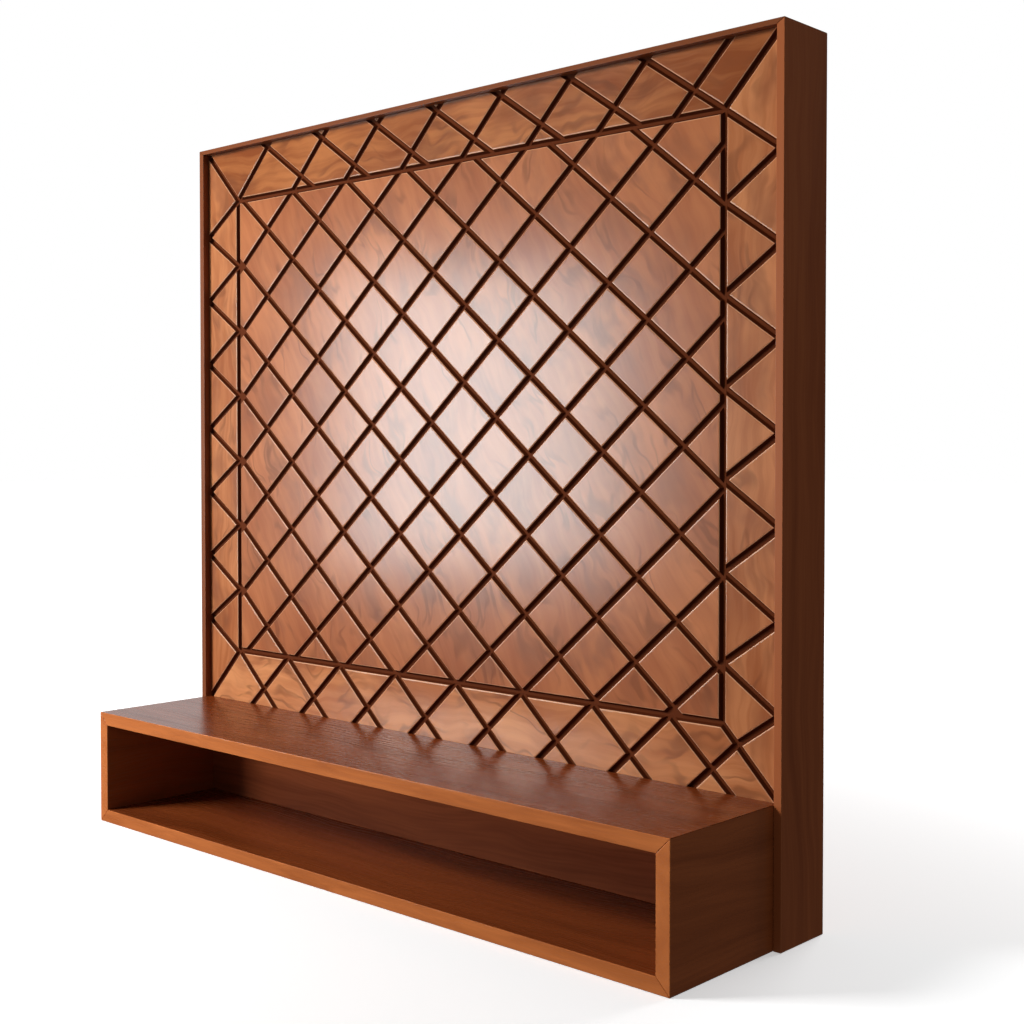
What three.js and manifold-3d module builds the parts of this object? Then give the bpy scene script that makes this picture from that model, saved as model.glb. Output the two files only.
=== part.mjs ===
// Framed lattice wall panel with an open box shelf along its foot.
// Millimetres, +Z up, the front looks towards -Y, the origin is under the middle of the whole piece.
import * as THREE from 'three';
import Module from 'manifold-3d';

const wasm = await Module();
wasm.setup();

// Frame of four boards set on edge, the top one thinner
const FRAME_WIDTH = 1500;
const FRAME_HEIGHT = 1430;
const FRAME_DEPTH = 124;
const FRAME_BOARD = 14;
const TOP_RAIL_BOARD = 9;

// Lattice boards, set back from the front edge of the frame
const PANEL_RECESS = 14;
const PANEL_THICKNESS = 20;
const BORDER_WIDTH = 106;
const TOP_BORDER_WIDTH = 111;
const FOOT_BORDER_WIDTH = 111;

// Open box shelf that stands out in front of the frame
const SHELF_REACH = 265;
const SHELF_HEIGHT = 227;
const SHELF_BOARD = 25.5;

// Clear joints between neighbouring pieces, and the shortening that opens a mitre by as much
const JOINT_GAP = 0.3;
const MITRE_GAP = 0.4;

// Groove of the lattice: sloping sides and a narrow flat floor
const GROOVE_WIDTH = 14;
const GROOVE_FLOOR = 5;
const GROOVE_DEPTH = 7;
const CUTTER_LIFT = 1;
const CUTTER_OVERRUN = 14;

// Falling grooves of the field join even marks on its left side to even marks on its right side
const FALLING_FIRST_LEFT = 2166;
const FALLING_FIRST_RIGHT = 1161;
const FALLING_PITCH_LEFT = 140.5;
const FALLING_PITCH_RIGHT = 148.5;
const FALLING_COUNT = 13;

// Rising grooves of the field are set out the same way
const RISING_FIRST_LEFT = 1154;
const RISING_FIRST_RIGHT = 2217;
const RISING_PITCH_LEFT = 139.6;
const RISING_PITCH_RIGHT = 137;
const RISING_COUNT = 14;

// Zigzag grooves of the side borders start from the two upper corners of the field
const ZIGZAG_PITCH_LEFT = 140;
const ZIGZAG_PITCH_RIGHT = 146;
const ZIGZAG_COUNT = 7;

// Top border: rising grooves carry on from those of the field, falling ones start from its right corner
const TOP_RISING_SLOPE = 1;
const TOP_FALLING_SLOPE = 0.68;
const TOP_FALLING_PITCH = 168;
const TOP_FALLING_COUNT = 7;

// Crossing grooves of the bottom border start from even marks along the foot of the field
const FOOT_PITCH = 165.2;
const FOOT_COUNT = 8;
const FOOT_SLOPE = 0.92;
const FOOT_HIDDEN_END = 8;

// Positions that follow from the sizes above
const halfWidth = FRAME_WIDTH / 2;
const insideWidth = halfWidth - FRAME_BOARD;
const insideTop = FRAME_HEIGHT - TOP_RAIL_BOARD;
const shelfFront = -(SHELF_REACH + FRAME_DEPTH) / 2;
const frameFront = shelfFront + SHELF_REACH;
const frameBack = frameFront + FRAME_DEPTH;
const panelFace = frameFront + PANEL_RECESS;
const panelBack = panelFace + PANEL_THICKNESS;
const fieldSide = insideWidth - BORDER_WIDTH;
const fieldTop = insideTop - TOP_BORDER_WIDTH;
const fieldFoot = SHELF_HEIGHT + FOOT_BORDER_WIDTH;
const joinSide = fieldSide + GROOVE_FLOOR / 2;
const joinTop = fieldTop + GROOVE_FLOOR / 2;
const joinFoot = fieldFoot - GROOVE_FLOOR / 2;
const boardSide = insideWidth - JOINT_GAP;
const boardTop = insideTop - JOINT_GAP;
const boardFoot = SHELF_HEIGHT + JOINT_GAP;

// Closed solid between two matching rings of points, the first ring anticlockwise seen from outside
function loft(nearRing, farRing) {
  const corners = nearRing.length;
  const positions = [...nearRing, ...farRing].flat();
  const triangles = [];
  for (let i = 2; i < corners; i += 1) {
    triangles.push(0, i - 1, i);
    triangles.push(corners, corners + i, corners + i - 1);
  }
  for (let i = 0; i < corners; i += 1) {
    const next = (i + 1) % corners;
    triangles.push(i, corners + i, corners + next);
    triangles.push(i, corners + next, next);
  }
  const mesh = new wasm.Mesh({
    numProp: 3,
    vertProperties: new Float32Array(positions),
    triVerts: new Uint32Array(triangles),
  });
  return new wasm.Manifold(mesh);
}

// Board with an outline of [x, z] corners, anticlockwise seen from the front
function board(outline, front, back) {
  const nearRing = outline.map(([x, z]) => [x, front, z]);
  const farRing = outline.map(([x, z]) => [x, back, z]);
  return loft(nearRing, farRing);
}

// The same outline on the other side of the middle
function mirrored(outline) {
  return outline.map(([x, z]) => [-x, z]).reverse();
}

// Straight cutter for one groove in the face of the panel, from one [x, z] point to another
function cutter([startX, startZ], [endX, endZ]) {
  const length = Math.hypot(endX - startX, endZ - startZ);
  const alongX = (endX - startX) / length;
  const alongZ = (endZ - startZ) / length;
  const sideSlope = (GROOVE_WIDTH - GROOVE_FLOOR) / 2 / GROOVE_DEPTH;
  const lipHalf = GROOVE_WIDTH / 2 + CUTTER_LIFT * sideSlope;
  const floorHalf = GROOVE_FLOOR / 2;
  const section = [
    [-floorHalf, panelFace + GROOVE_DEPTH],
    [floorHalf, panelFace + GROOVE_DEPTH],
    [lipHalf, panelFace - CUTTER_LIFT],
    [-lipHalf, panelFace - CUTTER_LIFT],
  ];
  const ringAt = (distance) => section.map(([across, y]) => [
    startX + alongX * distance + alongZ * across,
    y,
    startZ + alongZ * distance - alongX * across,
  ]);
  return loft(ringAt(-CUTTER_OVERRUN), ringAt(length + CUTTER_OVERRUN));
}

// Board with its grooves cut into the face
function groovedBoard(outline, grooves) {
  let solid = board(outline, panelFace, panelBack);
  for (const [start, end] of grooves) {
    solid = solid.subtract(cutter(start, end));
  }
  return solid;
}

const group = new THREE.Group();
group.name = 'lattice_wall_panel';

// Named mesh with its own material
function addPiece(name, solid, look) {
  const result = solid.getMesh();
  const geometry = new THREE.BufferGeometry();
  geometry.setAttribute('position', new THREE.BufferAttribute(new Float32Array(result.vertProperties), 3));
  geometry.setIndex(new THREE.BufferAttribute(new Uint32Array(result.triVerts), 1));
  const mesh = new THREE.Mesh(geometry, new THREE.MeshStandardMaterial(look));
  mesh.name = name;
  group.add(mesh);
}

const frameWood = { color: 0x8a4f2c, roughness: 0.4, metalness: 0 };
const panelWood = { color: 0xb06a3c, roughness: 0.32, metalness: 0 };
const shelfWood = { color: 0x7c4425, roughness: 0.35, metalness: 0 };

// Frame: two stiles mitred to the top rail, and a rail between them at the foot behind the shelf
const stileOutline = [
  [-halfWidth, 0],
  [-insideWidth, 0],
  [-insideWidth, insideTop - MITRE_GAP],
  [-halfWidth, FRAME_HEIGHT - MITRE_GAP],
];
const topRailOutline = [
  [-insideWidth, insideTop],
  [insideWidth, insideTop],
  [halfWidth, FRAME_HEIGHT],
  [-halfWidth, FRAME_HEIGHT],
];
const bottomRailOutline = [
  [-boardSide, 0],
  [boardSide, 0],
  [boardSide, FRAME_BOARD],
  [-boardSide, FRAME_BOARD],
];
addPiece('frame_left_stile', board(stileOutline, frameFront, frameBack), frameWood);
addPiece('frame_right_stile', board(mirrored(stileOutline), frameFront, frameBack), frameWood);
addPiece('frame_top_rail', board(topRailOutline, frameFront, frameBack), frameWood);
addPiece('frame_bottom_rail', board(bottomRailOutline, panelFace, frameBack), frameWood);

// Middles of the four grooves round the field, and of the grooves over the mitres of the border
const sideGroove = [[-fieldSide, fieldFoot], [-fieldSide, fieldTop]];
const topGroove = [[-fieldSide, fieldTop], [fieldSide, fieldTop]];
const footGroove = [[-fieldSide, fieldFoot], [fieldSide, fieldFoot]];
const upperMitre = [[-fieldSide, fieldTop], [-insideWidth, insideTop]];
const lowerMitre = [[-fieldSide, fieldFoot], [-insideWidth, SHELF_HEIGHT]];

// Lattice field: one board with falling and rising grooves and a groove along each edge
const fieldOutline = [
  [-joinSide + JOINT_GAP, joinFoot + JOINT_GAP],
  [joinSide - JOINT_GAP, joinFoot + JOINT_GAP],
  [joinSide - JOINT_GAP, joinTop - JOINT_GAP],
  [-joinSide + JOINT_GAP, joinTop - JOINT_GAP],
];
const fieldGrooves = [sideGroove, mirrored(sideGroove), topGroove, footGroove];
for (let k = 0; k < FALLING_COUNT; k += 1) {
  const left = [-fieldSide, FALLING_FIRST_LEFT - k * FALLING_PITCH_LEFT];
  const right = [fieldSide, FALLING_FIRST_RIGHT - k * FALLING_PITCH_RIGHT];
  fieldGrooves.push([left, right]);
}
const risingHeads = [-fieldSide];
for (let k = 0; k < RISING_COUNT; k += 1) {
  const left = [-fieldSide, RISING_FIRST_LEFT - k * RISING_PITCH_LEFT];
  const right = [fieldSide, RISING_FIRST_RIGHT - k * RISING_PITCH_RIGHT];
  fieldGrooves.push([left, right]);
  if (right[1] > fieldTop) {
    risingHeads.push(-fieldSide + (2 * fieldSide * (fieldTop - left[1])) / (right[1] - left[1]));
  }
}
addPiece('lattice_field', groovedBoard(fieldOutline, fieldGrooves), panelWood);

// Side borders: upright boards with a zigzag groove between the frame and the field
const sideBorderOutline = [
  [-boardSide, boardFoot + MITRE_GAP],
  [-joinSide, joinFoot + MITRE_GAP],
  [-joinSide, joinTop - MITRE_GAP],
  [-boardSide, boardTop - MITRE_GAP],
];
function sideBorderGrooves(pitch) {
  const grooves = [sideGroove, upperMitre, lowerMitre];
  for (let k = 0; k < ZIGZAG_COUNT; k += 1) {
    const upper = [-fieldSide, fieldTop - k * pitch];
    const outer = [-insideWidth, fieldTop - (k + 0.5) * pitch];
    const lower = [-fieldSide, fieldTop - (k + 1) * pitch];
    grooves.push([upper, outer], [outer, lower]);
  }
  return grooves;
}
const leftGrooves = sideBorderGrooves(ZIGZAG_PITCH_LEFT);
const rightGrooves = sideBorderGrooves(ZIGZAG_PITCH_RIGHT).map(mirrored);
addPiece('border_left', groovedBoard(sideBorderOutline, leftGrooves), panelWood);
addPiece('border_right', groovedBoard(mirrored(sideBorderOutline), rightGrooves), panelWood);

// Top border: a level board with grooves that cross below the frame and again above the field
const topBorderOutline = [
  [-joinSide, joinTop],
  [joinSide, joinTop],
  [boardSide, boardTop],
  [-boardSide, boardTop],
];
const topBorderGrooves = [topGroove, upperMitre, mirrored(upperMitre)];
for (const start of risingHeads) {
  const end = start + TOP_BORDER_WIDTH / TOP_RISING_SLOPE;
  topBorderGrooves.push([[start, fieldTop], [end, insideTop]]);
}
for (let k = 0; k < TOP_FALLING_COUNT; k += 1) {
  const start = fieldSide - k * TOP_FALLING_PITCH;
  const end = start - TOP_BORDER_WIDTH / TOP_FALLING_SLOPE;
  topBorderGrooves.push([[start, fieldTop], [end, insideTop]]);
}
addPiece('border_top', groovedBoard(topBorderOutline, topBorderGrooves), panelWood);

// Bottom border: a wide level board that runs down behind the shelf and carries it
const bottomBorderOutline = [
  [-boardSide, FRAME_BOARD + JOINT_GAP],
  [boardSide, FRAME_BOARD + JOINT_GAP],
  [boardSide, boardFoot],
  [joinSide, joinFoot],
  [-joinSide, joinFoot],
  [-boardSide, boardFoot],
];
const footDrop = FOOT_BORDER_WIDTH + FOOT_HIDDEN_END;
const footRun = footDrop / FOOT_SLOPE;
const bottomBorderGrooves = [footGroove, lowerMitre, mirrored(lowerMitre)];
for (let k = 0; k < FOOT_COUNT; k += 1) {
  const falling = -fieldSide + k * FOOT_PITCH;
  const rising = falling + FOOT_PITCH;
  bottomBorderGrooves.push([[falling, fieldFoot], [falling + footRun, fieldFoot - footDrop]]);
  bottomBorderGrooves.push([[rising, fieldFoot], [rising - footRun, fieldFoot - footDrop]]);
}
addPiece('border_bottom', groovedBoard(bottomBorderOutline, bottomBorderGrooves), panelWood);

// Shelf: four boards mitred into a box, closed behind by a thin board level with the frame front
const shelfSide = insideWidth - JOINT_GAP;
const shelfInside = shelfSide - SHELF_BOARD;
const shelfCeiling = SHELF_HEIGHT - SHELF_BOARD;
const shelfBack = panelFace - JOINT_GAP;
const shelfTopOutline = [
  [-shelfInside, shelfCeiling],
  [shelfInside, shelfCeiling],
  [shelfSide, SHELF_HEIGHT],
  [-shelfSide, SHELF_HEIGHT],
];
const shelfBottomOutline = [
  [-shelfSide, 0],
  [shelfSide, 0],
  [shelfInside, SHELF_BOARD],
  [-shelfInside, SHELF_BOARD],
];
const shelfEndOutline = [
  [-shelfSide, MITRE_GAP],
  [-shelfInside, SHELF_BOARD + MITRE_GAP],
  [-shelfInside, shelfCeiling - MITRE_GAP],
  [-shelfSide, SHELF_HEIGHT - MITRE_GAP],
];
const shelfBackOutline = [
  [-shelfInside + JOINT_GAP, SHELF_BOARD + JOINT_GAP],
  [shelfInside - JOINT_GAP, SHELF_BOARD + JOINT_GAP],
  [shelfInside - JOINT_GAP, shelfCeiling - JOINT_GAP],
  [-shelfInside + JOINT_GAP, shelfCeiling - JOINT_GAP],
];
addPiece('shelf_top', board(shelfTopOutline, shelfFront, shelfBack), shelfWood);
addPiece('shelf_bottom', board(shelfBottomOutline, shelfFront, shelfBack), shelfWood);
addPiece('shelf_left_end', board(shelfEndOutline, shelfFront, shelfBack), shelfWood);
addPiece('shelf_right_end', board(mirrored(shelfEndOutline), shelfFront, shelfBack), shelfWood);
addPiece('shelf_back', board(shelfBackOutline, frameFront, shelfBack), shelfWood);

export default group;
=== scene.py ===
import math
import random

import bmesh
import bpy
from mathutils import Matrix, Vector


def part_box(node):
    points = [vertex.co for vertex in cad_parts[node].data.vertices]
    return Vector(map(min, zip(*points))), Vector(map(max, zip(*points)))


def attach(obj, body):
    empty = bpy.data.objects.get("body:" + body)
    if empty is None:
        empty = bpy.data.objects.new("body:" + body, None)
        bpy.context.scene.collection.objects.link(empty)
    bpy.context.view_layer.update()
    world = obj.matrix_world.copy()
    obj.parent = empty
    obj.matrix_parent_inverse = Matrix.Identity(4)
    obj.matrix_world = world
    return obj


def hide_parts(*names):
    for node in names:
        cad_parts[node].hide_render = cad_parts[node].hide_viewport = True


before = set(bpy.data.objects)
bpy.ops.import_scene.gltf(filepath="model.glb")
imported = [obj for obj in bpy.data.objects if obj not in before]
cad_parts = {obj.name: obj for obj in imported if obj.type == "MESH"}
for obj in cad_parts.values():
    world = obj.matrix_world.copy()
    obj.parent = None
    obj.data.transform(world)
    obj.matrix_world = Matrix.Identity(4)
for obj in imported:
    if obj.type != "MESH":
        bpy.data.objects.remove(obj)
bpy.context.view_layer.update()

# Camera
# It stands to the right of the panel at chest height and looks a little down.
camera = bpy.data.objects.new("camera", bpy.data.cameras.new("camera"))
camera.location = (1.966, -1.854, 0.775)
camera.rotation_euler = (math.radians(88.63), 0, math.radians(42.73))
camera.data.lens = 51.66
camera.data.shift_y = -0.0272
bpy.context.collection.objects.link(camera)
bpy.context.scene.camera = camera

# Frame
# Four thin boards on edge form a deep box round the panel, mitred at the upper corners.
# They are red-brown hardwood under a satin lacquer, with the grain along each board.


class Shade:
    """One output of a shader node. Sums on it add Math nodes."""

    def __init__(self, tree, socket=None):
        self.tree = tree
        self.socket = socket

    def make(self, kind, settings, links, output=0):
        """New node: settings are set first, then the values or links of its sockets."""
        node = self.tree.nodes.new(kind)
        for name, value in settings.items():
            setattr(node, name, value)
        for name, value in links.items():
            if isinstance(value, Shade):
                self.tree.links.new(value.socket, node.inputs[name])
            else:
                node.inputs[name].default_value = value
        return Shade(self.tree, node.outputs[output])

    def maths(self, operation, first, second):
        return self.make("ShaderNodeMath", {"operation": operation}, {0: first, 1: second})

    def __add__(self, other):
        return self.maths("ADD", self, other)

    def __radd__(self, other):
        return self.maths("ADD", other, self)

    def __sub__(self, other):
        return self.maths("SUBTRACT", self, other)

    def __rsub__(self, other):
        return self.maths("SUBTRACT", other, self)

    def __mul__(self, other):
        return self.maths("MULTIPLY", self, other)

    def __rmul__(self, other):
        return self.maths("MULTIPLY", other, self)

    def dot(self, direction):
        return self.make("ShaderNodeVectorMath", {"operation": "DOT_PRODUCT"}, {0: self, 1: direction}, "Value")

    def absolute(self):
        return self.make("ShaderNodeMath", {"operation": "ABSOLUTE"}, {0: self})

    def ramp(self, low, high):
        """0 below low, 1 above high, smooth between."""
        settings = {"interpolation_type": "SMOOTHSTEP"}
        return self.make("ShaderNodeMapRange", settings, {"Value": self, "From Min": low, "From Max": high})

    def blend(self, start, end):
        """Colour that goes from start to end with this value."""
        return self.make("ShaderNodeMix", {"data_type": "RGBA"}, {"Factor": self, 6: start, 7: end}, 2)


def colour(red, green, blue):
    """Shader colour from the red, green and blue of a paint chart, 0 to 255."""
    parts = [part / 255 for part in (red, green, blue)]
    return tuple(part / 12.92 if part < 0.04045 else ((part + 0.055) / 1.055) ** 2.4 for part in parts) + (1,)


def noise(start, along, across, depth, detail):
    """Cloudy pattern from 0 to 1 whose patches are as long as the three coordinates make them."""
    place = start.make("ShaderNodeCombineXYZ", {}, {0: along, 1: across, 2: depth})
    return start.make("ShaderNodeTexNoise", {}, {"Vector": place, "Scale": 1, "Detail": detail})


def lacquered(name, tones, along, across, roughness, shine, edge_face, front_tone, seed):
    """Straight-grained board with soft bands and fine fibres, clear lacquer and its own tone on the front face,
    which on the shelf is a paler painted light.
    """
    pale, dark = tones
    material = bpy.data.materials.new(name)
    material.use_nodes = True
    tree = material.node_tree
    surface = tree.nodes["Principled BSDF"]
    start = Shade(tree)
    place = start.make("ShaderNodeTexCoord", {}, {}, "Object")
    length = place.dot(along) + seed
    width = place.dot(across) + seed * 0.7
    depth = place.dot(Vector(along).cross(Vector(across)))
    sway = noise(start, length * 2.2, width * 5, depth * 5, 2)
    bands = noise(start, length * 1.1, width * 22 + sway * 3, depth * 22, 3).ramp(0.3, 0.72)
    fibres = noise(start, length * 7, width * 210 + sway * 20, depth * 210, 2).ramp(0.3, 0.7)
    tone = (bands * 0.65 + fibres * 0.25).blend(pale, dark)
    # Front face tone; on the shelf it is a paler painted light.
    front_edge = (place.dot(along_y) - edge_face).ramp(front_tone_depth, front_tone_depth + front_tone_fade)
    tone = front_edge.blend((bands * 0.5 + fibres * 0.2).blend(front_tone, pale), tone)
    tree.links.new(tone.socket, surface.inputs["Base Color"])
    tree.links.new((roughness + fibres * 0.05).socket, surface.inputs["Roughness"])
    surface.inputs["Specular IOR Level"].default_value = shine
    bump = start.make("ShaderNodeBump", {}, {"Strength": 0.02, "Distance": 0.0005, "Height": fibres})
    tree.links.new(bump.socket, surface.inputs["Normal"])
    return material


def lay_board(name, outline, front, back, arris, material, node):
    """Board with an outline of (x, z) corners, sawn between front and back, its edges eased."""
    mesh = bmesh.new()
    face = mesh.faces.new([mesh.verts.new((x, front, z)) for x, z in outline])
    pushed = bmesh.ops.extrude_face_region(mesh, geom=[face])
    corners = [part for part in pushed["geom"] if isinstance(part, bmesh.types.BMVert)]
    bmesh.ops.translate(mesh, verts=corners, vec=(0, back - front, 0))
    bmesh.ops.bevel(mesh, geom=mesh.edges[:], offset=arris, segments=3, profile=0.5, affect="EDGES")
    bmesh.ops.recalc_face_normals(mesh, faces=mesh.faces[:])
    return place_piece(name, mesh, material, node)


def place_piece(name, mesh, material, node):
    """Object from a finished mesh, in the place of the plain solid."""
    data = bpy.data.meshes.new(name)
    mesh.to_mesh(data)
    mesh.free()
    data.materials.append(material)
    piece = bpy.data.objects.new(name, data)
    bpy.context.collection.objects.link(piece)
    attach(piece, "root")
    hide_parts(node)
    return piece


def mirrored(outline):
    return [(-x, z) for x, z in reversed(outline)]


half_width = 0.75
frame_height = 1.43
frame_board = 0.014
top_rail_board = 0.009
mitre_gap = 0.0004
joint_gap = 0.0003
frame_arris = 0.0008
inside_width = half_width - frame_board
inside_top = frame_height - top_rail_board
board_side = inside_width - joint_gap
frame_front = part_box("frame_left_stile")[0][1]
frame_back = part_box("frame_left_stile")[1][1]
panel_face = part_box("lattice_field")[0][1]
along_x = (1, 0, 0)
along_y = (0, 1, 0)
along_z = (0, 0, 1)
stile_tones = (colour(178, 96, 50), colour(148, 74, 36))
rail_tones = (colour(142, 76, 40), colour(116, 58, 28))
stile_edge = colour(184, 104, 60)
rail_edge = colour(136, 74, 40)
front_tone_depth = 0.0012
front_tone_fade = 0.0004
frame_shine = 0.25
frame_roughness = 0.4
frame_finish = (frame_roughness, frame_shine, frame_front)
stile_wood = lacquered("stile_wood", stile_tones, along_z, along_y, *frame_finish, stile_edge, 3.1)
left_wood = lacquered("left_stile_wood", rail_tones, along_z, along_y, *frame_finish, rail_edge, 1.9)
rail_wood = lacquered("rail_wood", rail_tones, along_x, along_y, *frame_finish, rail_edge, 5.7)
stile = [
    (-half_width, 0),
    (-inside_width, 0),
    (-inside_width, inside_top - mitre_gap),
    (-half_width, frame_height - mitre_gap),
]
top_rail = [
    (-inside_width, inside_top),
    (inside_width, inside_top),
    (half_width, frame_height),
    (-half_width, frame_height),
]
bottom_rail = [(-board_side, 0), (board_side, 0), (board_side, frame_board), (-board_side, frame_board)]
lay_board(
    "left_stile", stile, frame_front, frame_back, frame_arris, left_wood, "frame_left_stile")
lay_board(
    "right_stile", mirrored(stile), frame_front, frame_back, frame_arris, stile_wood, "frame_right_stile")
lay_board("top_rail", top_rail, frame_front, frame_back, frame_arris, rail_wood, "frame_top_rail")
lay_board(
    "bottom_rail", bottom_rail, panel_face, frame_back, frame_arris, rail_wood, "frame_bottom_rail")

# Lattice field
# One board of figured veneer, cut by falling and rising grooves into diamonds with softened edges.
# The lacquer is half gloss on the diamonds; the sunk grooves are dull, with painted shade on their walls and
# floors, and the eased tile edges carry a painted highlight.

groove_half = 0.007
groove_floor_half = 0.0025
groove_depth = 0.007
groove_slope = (groove_half - groove_floor_half) / groove_depth
groove_arris = 0.0014
tile_sink = 0.0005
lacquer_roughness = 0.235
bare_roughness = 0.7
bare_shine = 0.05
# Paler colour on the eased tile edges is a painted highlight.
arris_highlight_share = 0.85
arris_highlight_tone = colour(244, 182, 138)
panel_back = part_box("lattice_field")[1][1]


def cut_level(planes, groove_inset, plain_inset):
    """Corners of the area inside all planes, each (x, z, reach, is a groove), after moving them in."""
    corners = [(-2, -2), (2, -2), (2, 2), (-2, 2)]
    for x, z, reach, is_groove in planes:
        limit = reach - (groove_inset if is_groove else plain_inset)
        kept = []
        for k, (px, pz) in enumerate(corners):
            qx, qz = corners[(k + 1) % len(corners)]
            here = px * x + pz * z - limit
            there = qx * x + qz * z - limit
            if here <= 0:
                kept.append((px, pz))
            if here * there < 0:
                share = here / (here - there)
                kept.append((px + (qx - px) * share, pz + (qz - pz) * share))
        corners = kept
    return corners


def side_of(start, end, is_groove):
    """Plane along a line from start to end that keeps what lies to its left."""
    length = math.dist(start, end)
    x = (end[1] - start[1]) / length
    z = (start[0] - end[0]) / length
    return (x, z, start[0] * x + start[1] * z, is_groove)


def divide(planes, grooves):
    """Cells that straight grooves make of one convex board face."""
    cells = [planes]
    for start, end in grooves:
        x, z, reach, is_groove = side_of(start, end, True)
        divided = []
        for cell in cells:
            gaps = [px * x + pz * z - reach for px, pz in cut_level(cell, 0, 0)]
            if min(gaps) < -groove_half and max(gaps) > groove_half:
                divided.append(cell + [(x, z, reach, True)])
                divided.append(cell + [(-x, -z, -reach, True)])
            else:
                divided.append(cell)
        cells = divided
    return cells


def carve_board(name, outline, groove_sides, grooves, slab, material, node, seed):
    """Grooved board: a slab at the depth of the grooves, and a raised tile in each cell between them."""
    chance = random.Random(seed)
    mesh = bmesh.new()
    face = mesh.faces.new([mesh.verts.new((x, panel_face + groove_depth, z)) for x, z in slab])
    pushed = bmesh.ops.extrude_face_region(mesh, geom=[face])
    corners = [part for part in pushed["geom"] if isinstance(part, bmesh.types.BMVert)]
    bmesh.ops.translate(mesh, verts=corners, vec=(0, panel_back - panel_face - groove_depth, 0))
    bmesh.ops.recalc_face_normals(mesh, faces=mesh.faces[:])
    tile_layer = mesh.faces.layers.float_vector.new("tile")
    planes = []
    for k, start in enumerate(outline):
        planes.append(side_of(start, outline[(k + 1) % len(outline)], groove_sides[k]))
    for cell in divide(planes, grooves):
        points = []
        floor_inset = groove_floor_half - tile_sink * groove_slope
        points += [(x, groove_depth + tile_sink, z) for x, z in cut_level(cell, floor_inset, joint_gap)]
        for step in (0, 1 / 3, 2 / 3, 1):
            depth = groove_arris * (1 - step) ** 2
            groove_inset = groove_half + groove_arris * (step * step - groove_slope * (1 - step) ** 2)
            plain_inset = joint_gap + groove_arris * 0.5 * step * step
            points += [(x, depth, z) for x, z in cut_level(cell, groove_inset, plain_inset)]
        if len(points) < 12:
            continue
        corners = [mesh.verts.new((x, panel_face + depth, z)) for x, depth, z in points]
        hull = bmesh.ops.convex_hull(mesh, input=corners)
        loose = hull["geom_interior"] + hull["geom_unused"]
        spare = [part for part in loose if isinstance(part, bmesh.types.BMVert)]
        bmesh.ops.delete(mesh, geom=list(set(spare)), context="VERTS")
        mark = (chance.random(), chance.random(), chance.random())
        for part in hull["geom"]:
            if isinstance(part, bmesh.types.BMFace) and part.is_valid:
                part[tile_layer] = mark
    bmesh.ops.dissolve_limit(
        mesh, angle_limit=math.radians(0.5), verts=mesh.verts[:], edges=mesh.edges[:])
    return place_piece(name, mesh, material, node)


def figured(name, tones, along, across, shift, streak_share, vein_share, seed):
    """Grooved board: clouded wood with thin wavy veins that differ from tile to tile, painted shade in the
    grooves and a painted highlight on the eased tile edges.
    """
    pale, middle, cloudy, vein_tone = tones
    material = bpy.data.materials.new(name)
    material.use_nodes = True
    tree = material.node_tree
    surface = tree.nodes["Principled BSDF"]
    start = Shade(tree)
    place = start.make("ShaderNodeTexCoord", {}, {}, "Object")
    tile = start.make("ShaderNodeAttribute", {"attribute_name": "tile"}, {}, "Vector")
    length = place.dot(along) + tile.dot(along_y) * shift + seed
    width = place.dot(across) + tile.dot(along_z) * shift + seed * 0.7
    depth = place.dot(along_y) * 4
    sway = noise(start, length * 8, width * 7, depth, 2)
    broad = noise(start, length * 5, width * 12 + sway * 0.8, depth, 2).ramp(0.32, 0.68)
    clouds = noise(start, length * 9, width * 17 + sway * 1.5, depth + 7, 3).ramp(0.46, 0.72)
    streaks = noise(start, length * 6, width * 80 + sway * 5, depth, 3).ramp(0.32, 0.68)
    ridge = (noise(start, length * 6, width * 20 + sway * 3, depth + 3, 2) - 0.5).absolute()
    vein_place = noise(start, length * 11, width * 14, depth + 5, 1).ramp(0.42, 0.66)
    veins = (1 - ridge.ramp(0.006, 0.055)) * vein_place
    tone = (broad * 0.45 + streaks * streak_share + tile.dot(along_x) * 0.5 - 0.1).blend(pale, middle)
    tone = (clouds * (0.3 + tile.dot(along_z) * 0.5)).blend(tone, cloudy)
    tone = (veins * vein_share).blend(tone, vein_tone)
    below = (place.dot(along_y) - panel_face) * (1 / groove_depth)
    # Painted highlight on the eased tile edges.
    painted_edge_highlight = below.ramp(0.005, 0.04) * arris_highlight_share
    # In the grooves the darker wall and floor colours are painted shade; the dull bare finish is real.
    sunk = below.ramp(0.1, 0.22)
    at_floor = below.ramp(0.86, 0.96)
    tone = sunk.blend(painted_edge_highlight.blend(tone, arris_highlight_tone), at_floor.blend(groove_wall_shade, groove_floor_shade))
    at_back = below.ramp(2, 2.4)
    tone = at_back.blend(tone, (broad * 0.3 + streaks * 0.4).blend(middle, vein_tone))
    tree.links.new(tone.socket, surface.inputs["Base Color"])
    tree.links.new((1 - sunk).socket, surface.inputs["Coat Weight"])
    surface.inputs["Coat Roughness"].default_value = lacquer_roughness
    surface.inputs["Roughness"].default_value = bare_roughness
    surface.inputs["Specular IOR Level"].default_value = bare_shine
    bump = start.make("ShaderNodeBump", {}, {"Strength": 0.04, "Distance": 0.0005, "Height": streaks - veins})
    tree.links.new(bump.socket, surface.inputs["Normal"])
    return material


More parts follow.
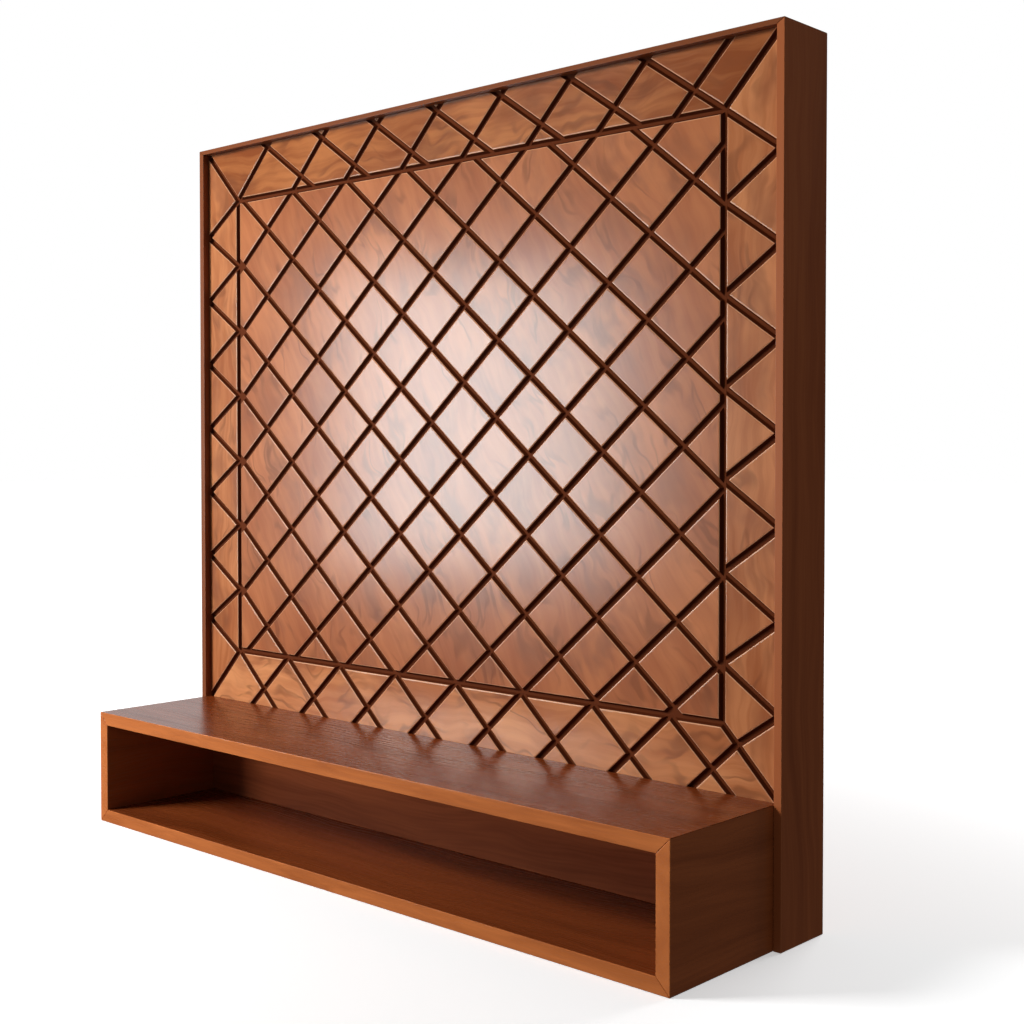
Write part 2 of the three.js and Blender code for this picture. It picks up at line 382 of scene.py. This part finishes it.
border_width = 0.106
top_border_width = 0.111
foot_border_width = 0.111
shelf_height = 0.227
field_side = inside_width - border_width
field_top = inside_top - top_border_width
field_foot = shelf_height + foot_border_width
join_side = field_side + groove_floor_half
join_top = field_top + groove_floor_half
join_foot = field_foot - groove_floor_half
field_face = [
    (-field_side, field_foot),
    (field_side, field_foot),
    (field_side, field_top),
    (-field_side, field_top),
]
field_slab = [
    (-join_side + joint_gap, join_foot + joint_gap),
    (join_side - joint_gap, join_foot + joint_gap),
    (join_side - joint_gap, join_top - joint_gap),
    (-join_side + joint_gap, join_top - joint_gap),
]
falling_first_left = 2.166
falling_first_right = 1.161
falling_pitch_left = 0.1405
falling_pitch_right = 0.1485
falling_count = 13
rising_first_left = 1.154
rising_first_right = 2.217
rising_pitch_left = 0.1396
rising_pitch_right = 0.137
rising_count = 14
field_grooves = []
rising_heads = [-field_side]
for k in range(falling_count):
    left = (-field_side, falling_first_left - k * falling_pitch_left)
    right = (field_side, falling_first_right - k * falling_pitch_right)
    field_grooves.append((left, right))
for k in range(rising_count):
    left = (-field_side, rising_first_left - k * rising_pitch_left)
    right = (field_side, rising_first_right - k * rising_pitch_right)
    field_grooves.append((left, right))
    if right[1] > field_top:
        rising_heads.append(-field_side + 2 * field_side * (field_top - left[1]) / (right[1] - left[1]))
slant = math.radians(62)
field_along = (math.cos(slant), 0, -math.sin(slant))
field_across = (math.sin(slant), 0, math.cos(slant))
# Painted shade in the grooves: walls darker than floors.
groove_wall_shade = colour(84, 36, 16)
groove_floor_shade = colour(104, 50, 25)
vein_tone = colour(118, 66, 38)
field_tones = (colour(207, 128, 80), colour(166, 92, 54), colour(148, 90, 61), vein_tone)
field_wood = figured("field_wood", field_tones, field_along, field_across, 0.5, 0.22, 0.45, 1.3)
carve_board(
    "field", field_face, [True] * 4, field_grooves, field_slab, field_wood, "lattice_field", 11)

# Border
# Four grooved boards round the field, mitred at the corners under a groove of the same cutter.
# They are the same wood with straighter grain along each board.

zigzag_pitch_left = 0.14
zigzag_pitch_right = 0.146
zigzag_count = 7
top_rising_slope = 1
top_falling_slope = 0.68
top_falling_pitch = 0.168
top_falling_count = 7
foot_pitch = 0.1652
foot_slope = 0.92
foot_count = 8
hidden_end = 0.008
board_top = inside_top - joint_gap
board_foot = shelf_height + joint_gap
border_tones = (colour(220, 144, 92), colour(174, 98, 54), colour(150, 88, 56), vein_tone)
upright_wood = figured("upright_border_wood", border_tones, along_z, along_x, 0.04, 0.35, 0.4, 2.2)
top_tones = (colour(200, 124, 70), colour(148, 78, 38), colour(128, 70, 40), vein_tone)
top_wood = figured("top_border_wood", top_tones, along_x, along_z, 0.04, 0.45, 0.5, 4.4)
# The foot border's paler tones are painted light, making the lower panel as bright as the upper.
foot_painted_light_tones = (colour(230, 156, 102), colour(188, 112, 66), colour(164, 98, 64), vein_tone)
foot_wood = figured("foot_border_wood", foot_painted_light_tones, along_x, along_z, 0.04, 0.35, 0.5, 8.8)

side_face = [
    (-inside_width, shelf_height),
    (-field_side, field_foot),
    (-field_side, field_top),
    (-inside_width, inside_top),
]
side_slab = [
    (-board_side, board_foot + mitre_gap),
    (-join_side, join_foot + mitre_gap),
    (-join_side, join_top - mitre_gap),
    (-board_side, board_top - mitre_gap),
]


def zigzag(pitch):
    """Grooves of the left border, down from the upper corner of the field."""
    grooves = []
    for k in range(zigzag_count):
        upper = (-field_side, field_top - k * pitch)
        outer = (-inside_width, field_top - (k + 0.5) * pitch)
        lower = (-field_side, field_top - (k + 1) * pitch)
        grooves += [(upper, outer), (outer, lower)]
    return grooves


carve_board(
    "left_border", side_face, [True, True, True, False], zigzag(zigzag_pitch_left), side_slab, upright_wood,
    "border_left", 21)
carve_board(
    "right_border", mirrored(side_face), [True, True, True, False],
    [mirrored(line) for line in zigzag(zigzag_pitch_right)], mirrored(side_slab), upright_wood, "border_right",
    22)

top_face = [
    (-field_side, field_top),
    (field_side, field_top),
    (inside_width, inside_top),
    (-inside_width, inside_top),
]
top_slab = [(-join_side, join_top), (join_side, join_top), (board_side, board_top), (-board_side, board_top)]
top_grooves = []
for start in rising_heads:
    top_grooves.append(((start, field_top), (start + top_border_width / top_rising_slope, inside_top)))
for k in range(top_falling_count):
    start = field_side - k * top_falling_pitch
    top_grooves.append(((start, field_top), (start - top_border_width / top_falling_slope, inside_top)))
carve_board(
    "top_border", top_face, [True, True, False, True], top_grooves, top_slab, top_wood, "border_top",
    23)

bottom_face = [
    (-inside_width, shelf_height - hidden_end),
    (inside_width, shelf_height - hidden_end),
    (inside_width, shelf_height),
    (field_side, field_foot),
    (-field_side, field_foot),
    (-inside_width, shelf_height),
]
bottom_slab = [
    (-board_side, frame_board + joint_gap),
    (board_side, frame_board + joint_gap),
    (board_side, board_foot),
    (join_side, join_foot),
    (-join_side, join_foot),
    (-board_side, board_foot),
]
foot_drop = foot_border_width + hidden_end
foot_run = foot_drop / foot_slope
bottom_grooves = []
for k in range(foot_count):
    falling = -field_side + k * foot_pitch
    rising = falling + foot_pitch
    bottom_grooves.append(((falling, field_foot), (falling + foot_run, field_foot - foot_drop)))
    bottom_grooves.append(((rising, field_foot), (rising - foot_run, field_foot - foot_drop)))
carve_board(
    "bottom_border", bottom_face, [False, False, True, True, True, False], bottom_grooves, bottom_slab,
    foot_wood, "border_bottom", 24)

# Shelf
# A box of four boards, mitred at its corners, with a thin back board.
# Grain runs along the top and bottom and from front to back on the ends; the lacquer is half gloss.

shelf_board = 0.0255
shelf_arris = 0.0009
shelf_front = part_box("shelf_top")[0][1]
shelf_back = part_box("shelf_top")[1][1]
shelf_side = inside_width - joint_gap
shelf_inside = shelf_side - shelf_board
shelf_ceiling = shelf_height - shelf_board
# Painted shade: the shelf's top and bottom boards are darker than its ends, also inside the box.
shelf_shaded_tones = (colour(144, 70, 32), colour(112, 51, 21))
end_tones = (colour(184, 100, 54), colour(152, 78, 40))
back_tones = (colour(184, 98, 56), colour(128, 60, 30))
# Painted light on the shelf's front faces.
painted_front_light = colour(218, 128, 70)
shelf_shine = 0.22
shelf_roughness = 0.24
back_shine = 0.1
back_roughness = 0.5
shelf_finish = (shelf_roughness, shelf_shine, shelf_front, painted_front_light)
back_finish = (back_roughness, back_shine, shelf_front, painted_front_light)
shelf_wood = lacquered("shelf_wood", shelf_shaded_tones, along_x, along_y, *shelf_finish, 7.9)
end_wood = lacquered("shelf_end_wood", end_tones, along_y, along_z, *shelf_finish, 9.3)
back_wood = lacquered("shelf_back_wood", back_tones, along_x, along_z, *back_finish, 6.1)
shelf_top = [
    (-shelf_inside, shelf_ceiling),
    (shelf_inside, shelf_ceiling),
    (shelf_side, shelf_height),
    (-shelf_side, shelf_height),
]
shelf_bottom = [(-shelf_side, 0), (shelf_side, 0), (shelf_inside, shelf_board), (-shelf_inside, shelf_board)]
shelf_end = [
    (-shelf_side, mitre_gap),
    (-shelf_inside, shelf_board + mitre_gap),
    (-shelf_inside, shelf_ceiling - mitre_gap),
    (-shelf_side, shelf_height - mitre_gap),
]
back_side = shelf_inside - joint_gap
back_foot = shelf_board + joint_gap
back_top = shelf_ceiling - joint_gap
back_board = [(-back_side, back_foot), (back_side, back_foot), (back_side, back_top), (-back_side, back_top)]
lay_board(
    "shelf_top_board", shelf_top, shelf_front, shelf_back, shelf_arris, shelf_wood, "shelf_top")
lay_board(
    "shelf_bottom_board", shelf_bottom, shelf_front, shelf_back, shelf_arris, shelf_wood, "shelf_bottom")
lay_board(
    "shelf_left_board", shelf_end, shelf_front, shelf_back, shelf_arris, end_wood, "shelf_left_end")
lay_board(
    "shelf_right_board", mirrored(shelf_end), shelf_front, shelf_back, shelf_arris, end_wood, "shelf_right_end")
lay_board(
    "shelf_back_board", back_board, frame_front, shelf_back, shelf_arris, back_wood, "shelf_back")

# Floor and light
# A plain white floor that pales into the white room, a broad soft light high on the left in front,
# a low one under it, one behind, a soft box that shines in the lacquer, and weak light all round.

floor_size = 30
floor_drop = 0.0005
floor_mesh = bmesh.new()
bmesh.ops.create_grid(floor_mesh, x_segments=1, y_segments=1, size=floor_size)
floor_data = bpy.data.meshes.new("floor")
floor_mesh.to_mesh(floor_data)
floor_mesh.free()
floor = bpy.data.objects.new("floor", floor_data)
floor.location.z = -floor_drop
bpy.context.collection.objects.link(floor)
floor_paint = bpy.data.materials.new("floor_paint")
floor_paint.use_nodes = True
floor_surface = floor_paint.node_tree.nodes["Principled BSDF"]
floor_start = Shade(floor_paint.node_tree)
floor_place = floor_start.make("ShaderNodeTexCoord", {}, {}, "Object")
from_middle = floor_start.make("ShaderNodeVectorMath", {"operation": "LENGTH"}, {0: floor_place}, "Value")
glow = from_middle.ramp(0.8, 3.2).blend((0.45, 0.45, 0.45, 1), (1, 1, 1, 1))
floor_paint.node_tree.links.new(glow.socket, floor_surface.inputs["Emission Color"])
floor_surface.inputs["Emission Strength"].default_value = 1
floor_surface.inputs["Base Color"].default_value = (0.9, 0.9, 0.9, 1)
floor_surface.inputs["Roughness"].default_value = 0.9
floor_surface.inputs["Specular IOR Level"].default_value = 0
floor_data.materials.append(floor_paint)
floor.visible_diffuse = False
floor.visible_glossy = False


def soft_box(name, place, aim, width, height, power, tint, in_gloss):
    """Rectangular soft light at a place, turned to face its aim, seen in the lacquer or spread by the wood."""
    data = bpy.data.lights.new(name, "AREA")
    data.shape = "RECTANGLE"
    data.size = width
    data.size_y = height
    data.energy = power
    data.color = tint
    lamp = bpy.data.objects.new(name, data)
    lamp.location = place
    lamp.rotation_euler = (Vector(aim) - Vector(place)).to_track_quat("-Z", "Y").to_euler()
    lamp.visible_glossy = in_gloss
    lamp.visible_diffuse = not in_gloss
    bpy.context.collection.objects.link(lamp)


cool_white = (0.74, 0.94, 1)
plain_white = (1, 1, 1)
soft_box("gloss_light", (-1.48, -1.54, 0.88), (0.06, 0.08, 0.83), 0.9, 1.0, 36, cool_white, True)
soft_box("broad_light", (-2.4, -2.9, 2.7), (0, 0, 0.7), 1.2, 1.2, 160, plain_white, False)
soft_box("back_light", (0.6, 3.2, 2.4), (0, 0.1, 0.6), 2.4, 2.0, 75, plain_white, False)
soft_box("low_light", (-1.7, -2.0, 0.3), (-0.2, 0, 0.2), 0.6, 0.5, 16, plain_white, False)

world = bpy.data.worlds.new("studio")
bpy.context.scene.world = world
world.use_nodes = True
sky = Shade(world.node_tree)
seen = sky.make("ShaderNodeLightPath", {}, {}, "Is Camera Ray")
mirrored_ray = sky.make("ShaderNodeLightPath", {}, {}, "Is Glossy Ray")
behind_left = sky.make("ShaderNodeTexCoord", {}, {}, "Generated").dot((-0.72, 0.69, 0)).ramp(0.6, 0.9)
room_fill = 0.13
strength = seen * (1 - room_fill) + room_fill + mirrored_ray * (behind_left * 0.9 - 0.1)
world.node_tree.links.new(strength.socket, world.node_tree.nodes["Background"].inputs["Strength"])
world.node_tree.nodes["Background"].inputs["Color"].default_value = (1, 1, 1, 1)
bpy.context.scene.view_settings.view_transform = "Standard"
